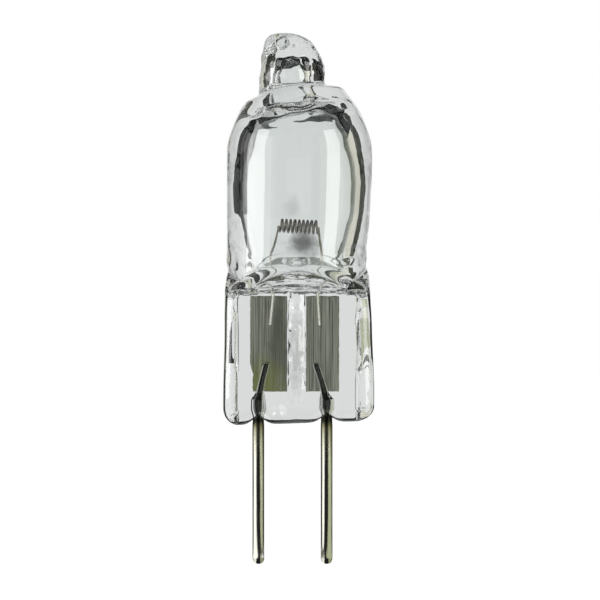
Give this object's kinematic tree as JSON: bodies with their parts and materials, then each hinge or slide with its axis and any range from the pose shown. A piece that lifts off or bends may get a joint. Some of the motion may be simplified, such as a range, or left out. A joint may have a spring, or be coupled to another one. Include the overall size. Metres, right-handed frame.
{
  "type": "halogen capsule bulb",
  "caption": "Clear quartz halogen capsule bulb with a flat pinch seal, a coiled tungsten filament, an exhaust tip and straight contact pins for a low-voltage plug-in holder.",
  "frame": {"origin": "midway between the pins, on the plane of the seal's foot where the pins leave the glass", "axes": "+Z along the lamp towards the exhaust tip, +X across the pins, -Y towards the camera of the picture"},
  "size_m": [0.0088, 0.0084, 0.031],
  "materials": {
    "fused_quartz": "clear, fire polished, with flow lines at the seal and the tip",
    "tungsten": "drawn wire, dark grey",
    "molybdenum_foil": "rolled strip, dull grey with drawing lines",
    "pin_metal": "drawn wire, bright with a faint heat tint at the seal"
  },
  "bodies": {
    "root": {"quartz_envelope": "fused_quartz", "filament": "tungsten", "foil_left": "molybdenum_foil", "foil_right": "molybdenum_foil", "pin_left": "pin_metal", "pin_right": "pin_metal"}
  },
  "joints": []
}
